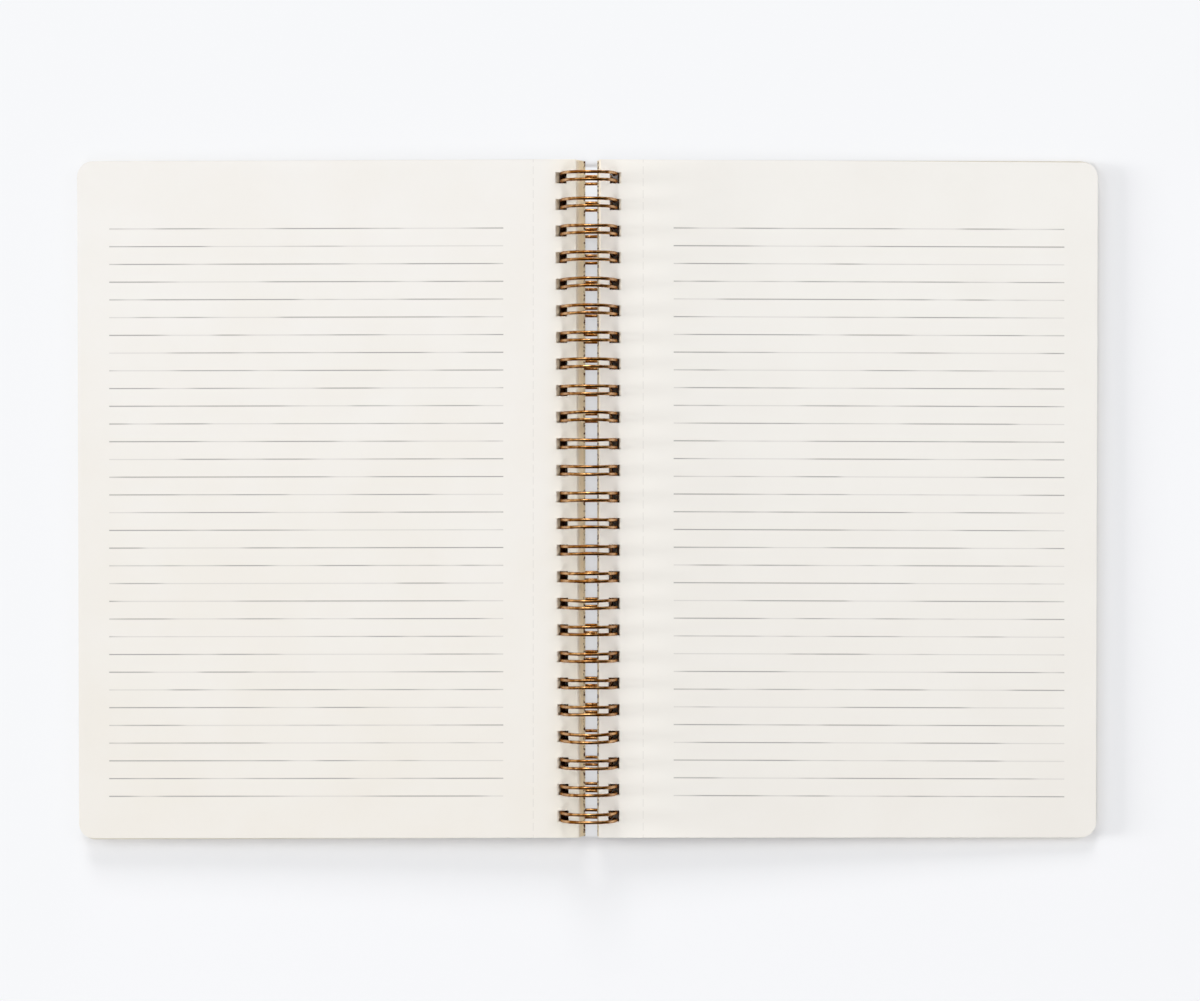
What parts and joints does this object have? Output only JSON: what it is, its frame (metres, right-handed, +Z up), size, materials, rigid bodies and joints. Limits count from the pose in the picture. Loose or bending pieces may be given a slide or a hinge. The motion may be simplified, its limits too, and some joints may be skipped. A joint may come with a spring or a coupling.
{
  "type": "open spiral notebook",
  "caption": "Wire-bound ruled notebook lying open, with two stacks of round-cornered sheets, two board covers and a twin-loop wire that they all turn on.",
  "frame": {"origin": "on the table, under the axis of the wire loops, half way up the sheets", "axes": "+Z up from the table, Y along the spine with +Y to the head of the page, +X to the right-hand page"},
  "size_m": [0.3253, 0.216, 0.0184],
  "materials": {
    "page_paper": "matt uncoated",
    "cover_board": "matt",
    "brass_wire": "satin antique"
  },
  "bodies": {
    "back_cover": {"back_cover": "cover_board"},
    "binding": {"wire": "brass_wire"},
    "right_pages": {"right_pages": "page_paper"},
    "front_cover": {"front_cover": "cover_board"},
    "left_pages": {"left_pages": "page_paper"}
  },
  "joints": [
    {"name": "wire_turn", "type": "hinge", "parent": "back_cover", "child": "binding", "pos_m": [0, 0, 0.0092], "axis": [0, 1, 0], "range_deg": [-1, 1]},
    {"name": "right_pages_turn", "type": "hinge", "parent": "back_cover", "child": "right_pages", "pos_m": [0, 0, 0.0092], "axis": [0, -1, 0], "range_deg": [0, 177]},
    {"name": "front_cover_turn", "type": "hinge", "parent": "back_cover", "child": "front_cover", "pos_m": [0, 0, 0.0092], "axis": [0, 1, 0], "range_deg": [-30, 177]},
    {"name": "left_pages_turn", "type": "hinge", "parent": "front_cover", "child": "left_pages", "pos_m": [0, 0, 0.0092], "axis": [0, 1, 0], "range_deg": [0, 177]}
  ]
}
